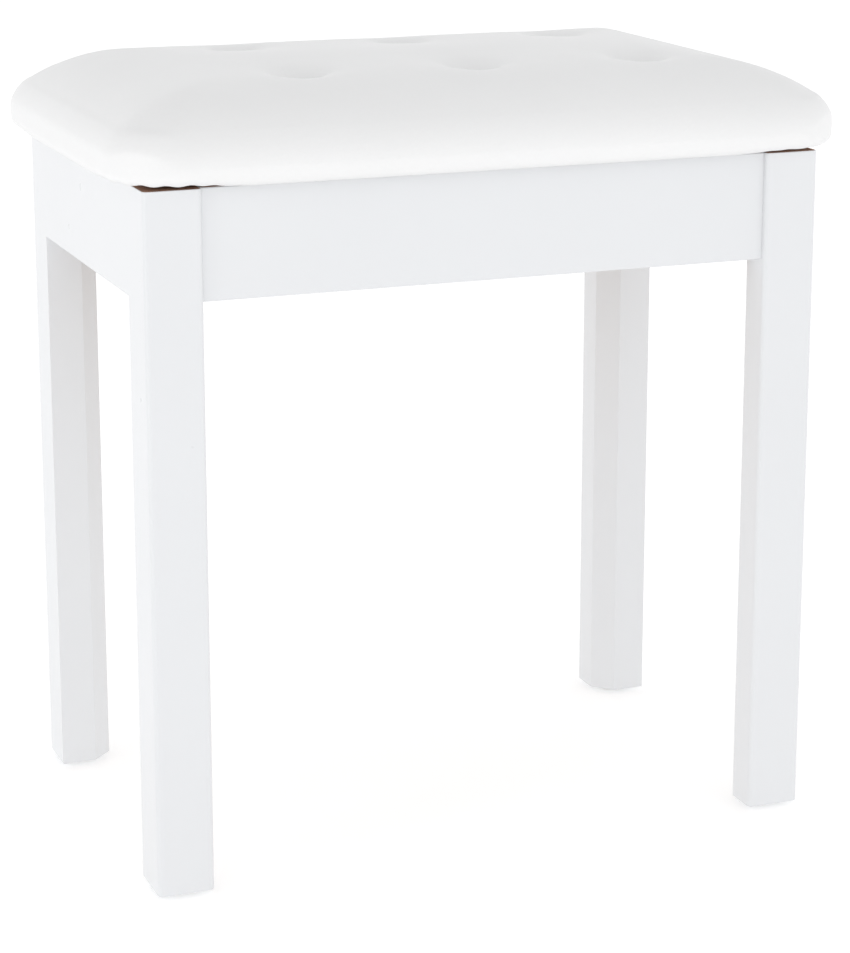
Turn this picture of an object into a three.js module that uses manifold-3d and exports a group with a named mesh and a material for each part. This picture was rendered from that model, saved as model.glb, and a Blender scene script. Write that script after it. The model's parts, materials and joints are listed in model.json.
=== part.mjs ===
// Piano bench with a lift-up padded seat and a sheet-music compartment below it.
// Millimetres. +X is the sitter's right, +Y the hinged back, +Z up, and the floor is z = 0.
import * as THREE from 'three';
import { mergeVertices } from 'three/addons/utils/BufferGeometryUtils.js';
import Module from 'manifold-3d';

// ---- Driving dimensions ------------------------------------------------------------------

// Frame
const frameWidth = 440;
const frameDepth = 276;
const frameHeight = 440;
const legSide = 36;
const legChamfer = 13;
const edgeRadius = 3;
const apronHeight = 68;
const apronThickness = 15;
const apronRecess = 4;

// Compartment floor, let into grooves in the aprons
const panelThickness = 3;
const panelDrop = 3;
const grooveDepth = 5;
const grooveClearance = 0.2;

// Corner blocks and the bolts that pull the legs in
const blockThickness = 14;
const blockTopDrop = 10;
const blockFloorGap = 12;
const boltRadius = 3;
const boltHeadRadius = 5;
const boltHeadHeight = 5;
const boltInLeg = 26;
const boltSpacing = 20;

// Feet and lid bumpers
const glideHeight = 3;
const glideRadius = 10;
const nailRadius = 1.5;
const nailLength = 12;
const bumperHeight = 2.5;
const bumperRadius = 5;
const bumperInset = 34;

// Seat
const seatOverhangX = 19;
const seatOverhangY = 18;
const seatCorner = 42;
const seatThickness = 57;
const seatCrown = 7;
const shoulderReach = 78;
const shoulderDrop = 38;
const underRoll = 10;
const coverThickness = 1;
const hemWidth = 18;
const boardInset = 15;
const boardCorner = 44;
const boardThickness = 12;

// Tufts, two rows of three, whose middle column sits a little to the right of the seat's middle
const tuftPitch = 114;
const tuftRowPitch = 132;
const tuftShift = 14;
const tuftDepth = 18;
const tuftMouth = 30;
const buttonRadius = 7;
const buttonHeight = 4.5;
const shankRadius = 1.5;

// Butt hinges
const hingeFromLeg = 54;
const hingeLength = 50;
const leafWidth = 22;
const leafThickness = 1.2;
const knuckleRadius = 2.75;
const knuckleClearance = 0.1;
const knuckleGap = 0.3;
const knuckles = 5;
const pinRadius = 1.5;
const pinClearance = 0.25;
const screwRadius = 1.6;
const screwHeadRadius = 3;
const screwLength = 10;
const screwSpacing = 30;
const screwFromPin = 14;

// Folding lid stays
const stayFromBlock = 5;
const elbowFromBlock = 17;
const elbowFloorGap = 6;
const lidPivotDrop = 8;
const bracketThickness = 1.5;
const bracketWidth = 16;
const armThickness = 2;
const armWidth = 12;
const tabThickness = 2;
const tabWidth = 16;
const tabReach = 18;
const rivetRadius = 2;
const rivetHeadRadius = 3.5;
const rivetHeadHeight = 1;

// Clearance between a piece and what it is cut by or bolted through
const gap = 0.3;

// ---- Derived places ----------------------------------------------------------------------

const halfWidth = frameWidth / 2;
const halfDepth = frameDepth / 2;
const legInnerX = halfWidth - legSide;
const legInnerY = halfDepth - legSide;
const apronBottom = frameHeight - apronHeight;
const frontFaceY = halfDepth - apronRecess;
const frontInnerY = frontFaceY - apronThickness;
const sideInnerX = halfWidth - apronThickness;
const panelBottom = apronBottom + panelDrop;
const panelTop = panelBottom + panelThickness;
const blockTop = frameHeight - blockTopDrop;
const blockBottom = panelTop + blockFloorGap;
// The block's inner face is the line x + y = blockLine at the rear right corner.
const blockLine = legInnerX + legInnerY + legChamfer - blockThickness * Math.SQRT2;
const blockEndY = blockLine - sideInnerX;

const lidUnder = frameHeight + bumperHeight;
const boardBottom = lidUnder + coverThickness;
const boardTop = boardBottom + boardThickness;
const seatTop = lidUnder + seatThickness;
const seatWidth = frameWidth + 2 * seatOverhangX;
const seatDepth = frameDepth + 2 * seatOverhangY;
const boardWidth = seatWidth - 2 * boardInset;
const boardDepth = seatDepth - 2 * boardInset;
const tuftFloor = seatTop - tuftDepth;

const hingeOffset = knuckleRadius + knuckleClearance;
const hingeY = frontFaceY + hingeOffset;
const hingeZ = lidUnder - hingeOffset;

// Hinge axis, frame pivot, elbow and lid pivot are the corners of a parallelogram.
const elbow = {
  y: elbowFromBlock + armWidth / 2 - blockEndY,
  z: panelTop + elbowFloorGap + armWidth / 2,
};
const framePivot = {
  y: blockEndY - stayFromBlock - bracketWidth / 2,
  z: elbow.z + lidPivotDrop,
};
const lidPivot = {
  y: hingeY + elbow.y - framePivot.y,
  z: hingeZ - lidPivotDrop,
};
const bracketX = sideInnerX - bracketThickness;
const lowerArmX = bracketX - gap - armThickness;
const upperArmX = lowerArmX - gap - armThickness;
const tabX = upperArmX - gap - tabThickness;

// ---- Materials ---------------------------------------------------------------------------

function finish(color, roughness, metalness = 0) {
  return new THREE.MeshStandardMaterial({ color, roughness, metalness });
}

const lacquer = finish(0xeef0f3, 0.25);
const rawWood = finish(0xb98f64, 0.75);
const hardboard = finish(0x8a6240, 0.7);
const leatherette = finish(0xe9e7e2, 0.45);
const foam = finish(0xf1e6b8, 0.95);
const lining = finish(0x2b2b2d, 0.95);
const nickel = finish(0xc4c4c2, 0.3, 0.9);
const zinc = finish(0xb4b7ba, 0.4, 0.9);
const glidePlastic = finish(0xe6e6e2, 0.5);
const bumperRubber = finish(0x2a2a2a, 0.85);

// ---- Shape helpers -----------------------------------------------------------------------

const wasm = await Module();
wasm.setup();

function toSolid(geometry) {
  const bare = geometry.clone();
  bare.deleteAttribute('normal');
  bare.deleteAttribute('uv');
  const merged = mergeVertices(bare, 1e-4);
  const vertProperties = new Float32Array(merged.attributes.position.array);
  const triVerts = new Uint32Array(merged.index.array);
  return new wasm.Manifold(new wasm.Mesh({ numProp: 3, vertProperties, triVerts }));
}

function toGeometry(solid) {
  const { vertProperties, triVerts } = solid.getMesh();
  const geometry = new THREE.BufferGeometry();
  geometry.setAttribute('position', new THREE.BufferAttribute(vertProperties, 3));
  geometry.setIndex(new THREE.BufferAttribute(triVerts, 1));
  geometry.computeVertexNormals();
  return geometry;
}

function cut(geometry, ...tools) {
  const whole = toSolid(geometry);
  return toGeometry(tools.reduce((solid, tool) => solid.subtract(toSolid(tool)), whole));
}

function join(geometry, ...others) {
  const whole = toSolid(geometry);
  return toGeometry(others.reduce((solid, other) => solid.add(toSolid(other)), whole));
}

function box(x0, x1, y0, y1, z0, z1) {
  const geometry = new THREE.BoxGeometry(x1 - x0, y1 - y0, z1 - z0);
  return geometry.translate((x0 + x1) / 2, (y0 + y1) / 2, (z0 + z1) / 2);
}

function prism(shape, z0, z1, curveSegments = 4) {
  const options = { depth: z1 - z0, bevelEnabled: false, curveSegments };
  return new THREE.ExtrudeGeometry(shape, options).translate(0, 0, z0);
}

// A round bar along +Z, centred on the axis.
function rod(radius, z0, z1, segments = 12) {
  const geometry = new THREE.CylinderGeometry(radius, radius, z1 - z0, segments).rotateX(Math.PI / 2);
  return geometry.translate(0, 0, (z0 + z1) / 2);
}

// A round bar along +X through (y, z).
function crossRod(radius, x0, x1, { y, z }, segments = 12) {
  return rod(radius, x0, x1, segments).rotateY(Math.PI / 2).translate(0, y, z);
}

// A turned piece: [radius, height] pairs, closed on the axis.
function turned(profile, segments = 12) {
  const points = profile.map(([radius, height]) => new THREE.Vector2(radius, height));
  return new THREE.LatheGeometry(points, segments).rotateX(Math.PI / 2);
}

function polygon(points) {
  return new THREE.Shape(points.map(([x, y]) => new THREE.Vector2(x, y)));
}

function roundedRectangle(width, depth, radius) {
  const x = width / 2 - radius;
  const y = depth / 2 - radius;
  const shape = new THREE.Shape();
  shape.absarc(x, -y, radius, -Math.PI / 2, 0);
  shape.absarc(x, y, radius, 0, Math.PI / 2);
  shape.absarc(-x, y, radius, Math.PI / 2, Math.PI);
  shape.absarc(-x, -y, radius, Math.PI, 1.5 * Math.PI);
  return shape;
}

const bench = new THREE.Group();

function add(name, geometry, material) {
  const mesh = new THREE.Mesh(geometry, material);
  mesh.name = name;
  bench.add(mesh);
  return mesh;
}

// Corners and sides by name: [name, sign of x, sign of y].
const corners = [
  ['front_left', -1, -1],
  ['front_right', 1, -1],
  ['rear_left', -1, 1],
  ['rear_right', 1, 1],
];
const sides = [['left', -1], ['right', 1]];

// Mirrors a geometry made for the +X, +Y corner to another corner, keeping its faces outwards.
function mirrored(geometry, signX, signY) {
  const copy = geometry.clone().scale(signX, signY, 1);
  if (signX * signY < 0) {
    const count = copy.attributes.position.count;
    const index = copy.index ? Array.from(copy.index.array) : [...Array(count).keys()];
    for (let i = 0; i < index.length; i += 3) {
      [index[i], index[i + 1]] = [index[i + 1], index[i]];
    }
    copy.setIndex(index);
    copy.computeVertexNormals();
  }
  return copy;
}

// ---- Legs, glides and corner blocks ------------------------------------------------------

// The leg's section at the rear right corner: two rounded outer edges, a rounded edge beside
// each recessed apron, and the inner corner cut off at 45 degrees.
function legSection() {
  const shape = new THREE.Shape();
  const r = edgeRadius;
  shape.moveTo(legInnerX, halfDepth - r);
  shape.lineTo(legInnerX, legInnerY + legChamfer);
  shape.lineTo(legInnerX + legChamfer, legInnerY);
  shape.lineTo(halfWidth, legInnerY);
  shape.lineTo(halfWidth, halfDepth - r);
  shape.absarc(halfWidth - r, halfDepth - r, r, 0, Math.PI / 2);
  shape.lineTo(legInnerX + r, halfDepth);
  shape.absarc(legInnerX + r, halfDepth - r, r, Math.PI / 2, Math.PI);
  return shape;
}

// A bolt's frame: local +Z points diagonally from the corner block into the leg, and local
// z = 0 lies on the block's inner face.
const boltStart = {
  x: (blockLine + legInnerX - legInnerY) / 2,
  y: (blockLine - legInnerX + legInnerY) / 2,
};
const boltReach = blockThickness + boltInLeg;
const boltLevels = [-0.5, 0.5].map((step) => (blockTop + blockBottom) / 2 + step * boltSpacing);

function alongBolt(geometry, level) {
  return geometry.rotateY(Math.PI / 2).rotateZ(Math.PI / 4).translate(boltStart.x, boltStart.y, level);
}

const legCentre = { x: halfWidth - legSide / 2, y: halfDepth - legSide / 2 };
const nailHole = rod(nailRadius + gap, glideHeight - 1, glideHeight + nailLength + gap, 10)
  .translate(legCentre.x, legCentre.y, 0);
const boltHoles = boltLevels.map((level) => alongBolt(rod(boltRadius + gap, -1, boltReach + gap, 8), level));
const leg = cut(prism(legSection(), glideHeight, frameHeight), nailHole, ...boltHoles);

const glide = turned([
  [0, 0],
  [glideRadius - 1, 0],
  [glideRadius, 1],
  [glideRadius, glideHeight],
  [nailRadius, glideHeight],
  [nailRadius, glideHeight + nailLength - 2],
  [0, glideHeight + nailLength],
], 10).translate(legCentre.x, legCentre.y, 0);

// The block touches both aprons and stands a hair off the leg's chamfer.
const chamferLine = legInnerX + legInnerY + legChamfer - gap * Math.SQRT2;
const blockShape = polygon([
  [sideInnerX, blockEndY],
  [sideInnerX, legInnerY - gap],
  [chamferLine - legInnerY + gap, legInnerY - gap],
  [legInnerX - gap, chamferLine - legInnerX + gap],
  [legInnerX - gap, frontInnerY],
  [blockLine - frontInnerY, frontInnerY],
]);
const cornerBlock = cut(prism(blockShape, blockBottom, blockTop), ...boltHoles);

const bolt = turned([
  [0, -boltHeadHeight],
  [boltHeadRadius - 0.6, -boltHeadHeight],
  [boltHeadRadius, -boltHeadHeight + 0.6],
  [boltHeadRadius, -gap],
  [boltRadius, -gap],
  [boltRadius, boltReach - 2],
  [0, boltReach],
], 8);
const bolts = boltLevels.map((level) => alongBolt(bolt.clone(), level));

for (const [corner, signX, signY] of corners) {
  add(`${corner}_leg`, mirrored(leg, signX, signY), lacquer);
  add(`${corner}_glide`, mirrored(glide, signX, signY), glidePlastic);
  add(`${corner}_corner_block`, mirrored(cornerBlock, signX, signY), rawWood);
  add(`${corner}_lower_bolt`, mirrored(bolts[0], signX, signY), zinc);
  add(`${corner}_upper_bolt`, mirrored(bolts[1], signX, signY), zinc);
}

// ---- Aprons and compartment floor --------------------------------------------------------

const grooveTop = panelTop + grooveClearance;

// A front or back apron, between the legs and set back from their faces, grooved inside.
const crossApron = cut(
  box(-legInnerX, legInnerX, frontInnerY, frontFaceY, apronBottom, frameHeight),
  box(-halfWidth, halfWidth, 0, frontInnerY + grooveDepth, panelBottom, grooveTop),
);

// A side apron, flush with the legs' outer faces.
const sideApron = cut(
  box(sideInnerX, halfWidth, -legInnerY, legInnerY, apronBottom, frameHeight),
  box(0, sideInnerX + grooveDepth, -halfDepth, halfDepth, panelBottom, grooveTop),
);

// Screw places for one hinge: x beside the hinge's middle, distance from the pin.
const hingeMiddles = [hingeFromLeg - legInnerX, legInnerX - hingeFromLeg];
const screwSides = [-screwSpacing / 2, screwSpacing / 2];
const leafScrews = hingeMiddles.flatMap((middle) => screwSides.map((side) => middle + side));

// A countersunk hole or a screw, pointing along +Z from the leaf's outer face.
const screwHole = turned([
  [0, -1],
  [screwHeadRadius + gap, -1],
  [screwHeadRadius + gap, 0],
  [screwRadius + gap, leafThickness],
  [screwRadius + gap, screwLength + gap],
  [0, screwLength + gap],
], 8);
const screw = turned([
  [0, 0],
  [screwHeadRadius, 0],
  [screwRadius, leafThickness],
  [screwRadius, screwLength - 2],
  [0, screwLength],
], 8);

// Fixed leaves take their screws forwards into the back apron, moving leaves up into the lid.
const intoApron = (geometry, x) => geometry.clone()
  .rotateX(Math.PI / 2)
  .translate(x, frontFaceY + leafThickness, hingeZ - screwFromPin);
const intoLid = (geometry, x) => geometry.clone()
  .translate(x, hingeY - screwFromPin, lidUnder - leafThickness);
const apronScrewHoles = leafScrews.map((x) => intoApron(screwHole, x));
const lidScrewHoles = leafScrews.map((x) => intoLid(screwHole, x));

add('front_apron', mirrored(crossApron, 1, -1), lacquer);
add('back_apron', cut(crossApron, ...apronScrewHoles), lacquer);
add('left_apron', mirrored(sideApron, -1, 1), lacquer);
add('right_apron', sideApron, lacquer);

// The floor reaches into all four grooves and is notched around the legs.
const panelX = sideInnerX + grooveDepth - gap;
const panelY = frontInnerY + grooveDepth - gap;
const notchX = legInnerX - gap;
const notchY = legInnerY - gap;
const panelCorner = [
  [panelX, notchY],
  [notchX + legChamfer, notchY],
  [notchX, notchY + legChamfer],
  [notchX, panelY],
];
const panelShape = polygon([
  ...panelCorner,
  ...panelCorner.map(([x, y]) => [-x, y]).reverse(),
  ...panelCorner.map(([x, y]) => [-x, -y]),
  ...panelCorner.map(([x, y]) => [x, -y]).reverse(),
]);
add('compartment_floor', prism(panelShape, panelBottom, panelTop), hardboard);

// Bumpers on the front apron carry the closed lid.
const bumper = turned([
  [0, 0],
  [bumperRadius, 0],
  [bumperRadius - 1, bumperHeight],
  [0, bumperHeight],
]);
for (const [side, sign] of sides) {
  const x = sign * (legInnerX - bumperInset);
  const y = -(frontFaceY + frontInnerY) / 2;
  add(`${side}_lid_bumper`, bumper.clone().translate(x, y, frameHeight), bumperRubber);
}

// ---- Seat: board, foam, cover, lining and tuft buttons -----------------------------------

// Stacks outlines of equal point count into one closed body.
function loft(outlines) {
  const count = outlines[0].points.length;
  const positions = [];
  const index = [];
  for (const { points, z } of outlines) {
    points.forEach((point) => positions.push(point.x, point.y, z));
  }
  const last = outlines.length - 1;
  for (let ring = 0; ring < last; ring += 1) {
    for (let i = 0; i < count; i += 1) {
      const a = ring * count + i;
      const b = ring * count + ((i + 1) % count);
      index.push(a, b, b + count, a, b + count, a + count);
    }
  }
  const floorCentre = positions.push(0, 0, outlines[0].z) / 3 - 1;
  const crownCentre = positions.push(0, 0, outlines[last].z) / 3 - 1;
  for (let i = 0; i < count; i += 1) {
    const next = (i + 1) % count;
    index.push(floorCentre, next, i);
    index.push(crownCentre, last * count + i, last * count + next);
  }
  const geometry = new THREE.BufferGeometry();
  geometry.setAttribute('position', new THREE.Float32BufferAttribute(positions, 3));
  geometry.setIndex(index);
  return geometry;
}

function outline(width, depth, radius) {
  const points = roundedRectangle(width, depth, radius).getPoints(4);
  return points.filter((point, i) => i === 0 || point.distanceTo(points[i - 1]) > 1e-6);
}

// The padded outline, drawn in from every face by the same amount: a small roll under the
// edge, a long quarter-ellipse shoulder and a low crown.
function cushion(drawnIn) {
  const width = seatWidth - 2 * drawnIn;
  const depth = seatDepth - 2 * drawnIn;
  const corner = seatCorner - drawnIn;
  const bottom = lidUnder + drawnIn;
  const shoulderTop = seatTop - seatCrown - drawnIn;
  const ring = (inset, z, radius) => ({ points: outline(width - 2 * inset, depth - 2 * inset, radius), z });
  const rings = [];
  for (let step = 0; step <= 2; step += 1) {
    const angle = (step / 2) * (Math.PI / 2);
    const inset = underRoll * (1 - Math.sin(angle));
    rings.push(ring(inset, bottom + underRoll * (1 - Math.cos(angle)), corner));
  }
  for (let step = 0; step <= 5; step += 1) {
    const angle = (step / 5) * (Math.PI / 2);
    const inset = shoulderReach * (1 - Math.cos(angle));
    rings.push(ring(inset, shoulderTop - shoulderDrop * (1 - Math.sin(angle)), corner));
  }
  const crown = shoulderReach + (depth / 2 - shoulderReach) / 2;
  rings.push(ring(crown, seatTop - drawnIn - seatCrown / 4, corner * 0.5));
  rings.push(ring(depth / 2 - 8, seatTop - drawnIn, 6));
  return loft(rings);
}

const tufts = [];
for (const row of [-0.5, 0.5]) {
  for (const column of [-1, 0, 1]) {
    tufts.push([tuftShift + column * tuftPitch, row * tuftRowPitch]);
  }
}
const atTufts = (geometry) => tufts.map(([x, y]) => geometry.clone().translate(x, y, 0));

// The hollow that a button pulls into the cushion, widened by the cover's thickness.
function tuftHollow(widened) {
  const top = seatTop + 5;
  return turned([
    [0, tuftFloor - widened],
    [buttonRadius + 1.5 + widened, tuftFloor - widened],
    [tuftMouth * 0.5 + widened, tuftFloor + tuftDepth * 0.6 - widened],
    [tuftMouth + widened, top - widened],
    [0, top - widened],
  ], 10);
}
const shankHoles = atTufts(rod(shankRadius + gap, lidUnder, seatTop, 10));

const boardShape = roundedRectangle(boardWidth, boardDepth, boardCorner);
const board = prism(boardShape, boardBottom, boardTop);
const clearOfBoard = prism(
  roundedRectangle(boardWidth + 2 * gap, boardDepth + 2 * gap, boardCorner + gap),
  lidUnder - 1,
  boardTop + gap,
);
add('lid_board', cut(board, ...shankHoles, ...lidScrewHoles), rawWood);

const foamDrawnIn = coverThickness + gap;
const foamBody = cut(
  cushion(foamDrawnIn),
  clearOfBoard,
  ...atTufts(tuftHollow(foamDrawnIn)),
  ...shankHoles,
);
add('seat_foam', foamBody, foam);

// The cover wraps the foam and turns under the board as a hem.
const liningWidth = boardWidth - 2 * hemWidth;
const liningDepth = boardDepth - 2 * hemWidth;
const liningCorner = boardCorner - hemWidth;
const hemOpening = prism(
  roundedRectangle(liningWidth + 2 * gap, liningDepth + 2 * gap, liningCorner + gap),
  lidUnder - 1,
  boardBottom + 1,
);
const skin = cut(cushion(0), ...atTufts(tuftHollow(0)));
const filling = cut(cushion(coverThickness), ...atTufts(tuftHollow(coverThickness)));
add('seat_cover', cut(skin, filling, hemOpening, ...shankHoles, ...lidScrewHoles), leatherette);

const liningShape = roundedRectangle(liningWidth, liningDepth, liningCorner);
add('underside_lining', cut(prism(liningShape, lidUnder, boardBottom), ...lidScrewHoles), lining);

const button = turned([
  [0, boardBottom + gap],
  [shankRadius, boardBottom + gap],
  [shankRadius, tuftFloor + gap],
  [buttonRadius, tuftFloor + gap],
  [buttonRadius, tuftFloor + gap + buttonHeight * 0.35],
  [buttonRadius * 0.75, tuftFloor + gap + buttonHeight * 0.8],
  [buttonRadius * 0.4, tuftFloor + gap + buttonHeight * 0.97],
  [0, tuftFloor + gap + buttonHeight],
], 10);
tufts.forEach(([x, y], i) => {
  add(`tuft_button_${i + 1}`, button.clone().translate(x, y, 0), leatherette);
});

// ---- Butt hinges -------------------------------------------------------------------------

const knuckleLength = hingeLength / knuckles;
const hingeAxis = { y: hingeY, z: hingeZ };

// A leaf's knuckles take every second place along the pin, and its plate is cut back from
// the other leaf's knuckles.
function hingeLeaf(middle, plate, first, screwHoles) {
  const start = middle - hingeLength / 2;
  const own = [];
  const others = [];
  for (let place = 0; place < knuckles; place += 1) {
    const x0 = start + place * knuckleLength;
    const x1 = x0 + knuckleLength;
    if (place % 2 === first) {
      own.push(crossRod(knuckleRadius, x0 + knuckleGap / 2, x1 - knuckleGap / 2, hingeAxis, 16));
    } else {
      others.push(crossRod(knuckleRadius + gap, x0 - knuckleGap / 2, x1 + knuckleGap / 2, hingeAxis, 16));
    }
  }
  const bore = crossRod(pinRadius + pinClearance, start - 1, start + hingeLength + 1, hingeAxis);
  return cut(join(cut(plate, ...others), ...own), bore, ...screwHoles);
}

hingeMiddles.forEach((middle, i) => {
  const side = sides[i][0];
  const x0 = middle - hingeLength / 2;
  const x1 = middle + hingeLength / 2;
  const fixedPlate = box(x0, x1, frontFaceY, frontFaceY + leafThickness, hingeZ - leafWidth, hingeZ);
  const movingPlate = box(x0, x1, hingeY - leafWidth, hingeY, lidUnder - leafThickness, lidUnder);
  const screwsHere = screwSides.map((offset) => middle + offset);
  const pin = turned([
    [0, -hingeLength / 2 - 1.2],
    [pinRadius + 0.4, -hingeLength / 2 - 0.9],
    [pinRadius + 0.4, -hingeLength / 2 - gap],
    [pinRadius, -hingeLength / 2 - gap],
    [pinRadius, hingeLength / 2 + gap],
    [pinRadius + 0.4, hingeLength / 2 + gap],
    [pinRadius + 0.4, hingeLength / 2 + 0.9],
    [0, hingeLength / 2 + 1.2],
  ]).rotateY(Math.PI / 2).translate(middle, hingeY, hingeZ);
  add(`${side}_hinge_fixed_leaf`, hingeLeaf(middle, fixedPlate, 0, apronScrewHoles), nickel);
  add(`${side}_hinge_moving_leaf`, hingeLeaf(middle, movingPlate, 1, lidScrewHoles), nickel);
  add(`${side}_hinge_pin`, pin, nickel);
  screwsHere.forEach((x, n) => {
    add(`${side}_hinge_apron_screw_${n + 1}`, intoApron(screw, x), nickel);
    add(`${side}_hinge_lid_screw_${n + 1}`, intoLid(screw, x), nickel);
  });
});

// ---- Folding lid stays -------------------------------------------------------------------
// The lower arm turns with the lid while the upper arm keeps its direction.

// A flat arm with round ends between two pivots, from x0 inwards to x1.
function arm(from, to, x0, x1) {
  const length = Math.hypot(to.y - from.y, to.z - from.z);
  const angle = Math.atan2(to.z - from.z, to.y - from.y);
  const r = armWidth / 2;
  const shape = new THREE.Shape();
  shape.absarc(0, 0, r, Math.PI / 2, 1.5 * Math.PI);
  shape.absarc(length, 0, r, -Math.PI / 2, Math.PI / 2);
  return prism(shape, x0, x1, 6)
    .rotateZ(angle)
    .applyMatrix4(new THREE.Matrix4().set(0, 0, 1, 0, 1, 0, 0, from.y, 0, 1, 0, from.z, 0, 0, 0, 1));
}

// A rivet fixed in a plate at x1, standing inwards or outwards through the arm on it.
function rivet(pivot, plateX, armX0, armX1) {
  const inwards = armX0 < plateX;
  const headX = inwards ? armX0 - gap : armX1 + gap;
  const headEnd = inwards ? headX - rivetHeadHeight : headX + rivetHeadHeight;
  const shank = crossRod(rivetRadius, Math.min(plateX, headEnd), Math.max(plateX, headEnd), pivot);
  const head = crossRod(rivetHeadRadius, Math.min(headX, headEnd), Math.max(headX, headEnd), pivot);
  return join(shank, head);
}

const pivotHole = (pivot) => crossRod(rivetRadius + pinClearance, upperArmX - 1, bracketX, pivot);

const frameBracketPlate = box(
  bracketX,
  sideInnerX,
  framePivot.y - bracketWidth / 2,
  framePivot.y + bracketWidth / 2,
  framePivot.z - bracketWidth / 2,
  frameHeight - blockTopDrop,
);
const frameBracket = join(
  frameBracketPlate,
  rivet(framePivot, bracketX + bracketThickness / 2, lowerArmX, lowerArmX + armThickness),
);

const lowerArm = join(
  cut(arm(framePivot, elbow, lowerArmX, lowerArmX + armThickness), pivotHole(framePivot)),
  rivet(elbow, lowerArmX + armThickness / 2, upperArmX, upperArmX + armThickness),
);

const upperArm = cut(
  arm(elbow, lidPivot, upperArmX, upperArmX + armThickness),
  pivotHole(elbow),
  pivotHole(lidPivot),
);

const tab = join(
  box(tabX, tabX + tabThickness, lidPivot.y - tabWidth / 2, lidPivot.y + tabWidth / 2, lidPivot.z, lidUnder),
  crossRod(tabWidth / 2, tabX, tabX + tabThickness, lidPivot, 16),
  box(
    tabX - tabReach,
    tabX + tabThickness,
    lidPivot.y - tabWidth * 0.75,
    lidPivot.y + tabWidth * 0.75,
    lidUnder - tabThickness,
    lidUnder,
  ),
);
const lidBracket = join(
  tab,
  rivet(lidPivot, tabX + tabThickness / 2, upperArmX, upperArmX + armThickness),
);

for (const [side, sign] of sides) {
  add(`${side}_stay_frame_bracket`, mirrored(frameBracket, sign, 1), zinc);
  add(`${side}_stay_lower_arm`, mirrored(lowerArm, sign, 1), zinc);
  add(`${side}_stay_upper_arm`, mirrored(upperArm, sign, 1), zinc);
  add(`${side}_stay_lid_bracket`, mirrored(lidBracket, sign, 1), zinc);
}

export default bench;
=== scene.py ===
import json
import math

import bmesh
import bpy
from mathutils import Matrix, Vector, noise


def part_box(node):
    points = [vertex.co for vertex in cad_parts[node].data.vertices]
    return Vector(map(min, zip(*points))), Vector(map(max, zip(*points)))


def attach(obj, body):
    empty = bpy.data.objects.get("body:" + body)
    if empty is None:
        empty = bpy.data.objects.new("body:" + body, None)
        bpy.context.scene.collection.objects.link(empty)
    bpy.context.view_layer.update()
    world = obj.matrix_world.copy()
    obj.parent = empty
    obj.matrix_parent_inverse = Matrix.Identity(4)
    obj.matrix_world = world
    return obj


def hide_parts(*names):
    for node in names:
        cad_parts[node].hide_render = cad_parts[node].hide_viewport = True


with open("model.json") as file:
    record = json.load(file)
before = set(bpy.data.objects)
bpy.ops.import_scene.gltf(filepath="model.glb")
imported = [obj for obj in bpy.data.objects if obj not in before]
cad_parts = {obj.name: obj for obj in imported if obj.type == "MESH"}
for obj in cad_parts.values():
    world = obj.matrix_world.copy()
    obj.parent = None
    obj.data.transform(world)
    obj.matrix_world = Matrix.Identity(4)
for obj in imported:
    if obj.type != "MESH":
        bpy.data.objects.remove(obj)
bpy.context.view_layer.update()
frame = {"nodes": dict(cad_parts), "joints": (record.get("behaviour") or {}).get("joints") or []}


# --- Camera -------------------------------------------------------------------------------
# A long lens from the front left of the bench, a little above the seat, with a small
# downward shift that keeps the legs nearly parallel.
CAMERA_DOWN = 13.5
CAMERA_YAW = 21.13

camera_data = bpy.data.cameras.new("studio_camera")
camera_data.lens = 106.3
camera_data.sensor_width = 36.0
camera_data.shift_y = -0.1
camera_data.clip_end = 60.0
camera = bpy.data.objects.new("studio_camera", camera_data)
bpy.context.collection.objects.link(camera)
camera.location = (-0.645, -1.689, 0.7125)
camera.rotation_euler = (math.radians(90 - CAMERA_DOWN), 0, math.radians(-CAMERA_YAW))
bpy.context.scene.camera = camera
bpy.context.scene.view_settings.view_transform = "Standard"


# --- Studio -------------------------------------------------------------------------------
# A plain white floor under a soft white sky, with a weak soft box behind the camera and a
# low strip light at the left for the rounded edges.
SKY_HORIZON = (1.0, 1.0, 1.0)
SKY_ZENITH = (0.57, 0.572, 0.576)
SKY_STRENGTH = 1.36
FLOOR_SIZE = 40.0
FLOOR_GLOW = 0.31

world = bpy.data.worlds.new("studio_sky")
bpy.context.scene.world = world
world.use_nodes = True
sky = world.node_tree
sky_coordinates = sky.nodes.new("ShaderNodeTexCoord")
sky_height = sky.nodes.new("ShaderNodeSeparateXYZ")
sky_ramp = sky.nodes.new("ShaderNodeValToRGB")
sky_ramp.color_ramp.elements[0].color = (*SKY_HORIZON, 1)
sky_ramp.color_ramp.elements[1].color = (*SKY_ZENITH, 1)
sky_ramp.color_ramp.elements[1].position = 0.7
sky.links.new(sky_coordinates.outputs["Generated"], sky_height.inputs[0])
sky.links.new(sky_height.outputs["Z"], sky_ramp.inputs[0])
sky.links.new(sky_ramp.outputs[0], sky.nodes["Background"].inputs[0])
sky.nodes["Background"].inputs[1].default_value = SKY_STRENGTH

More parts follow.
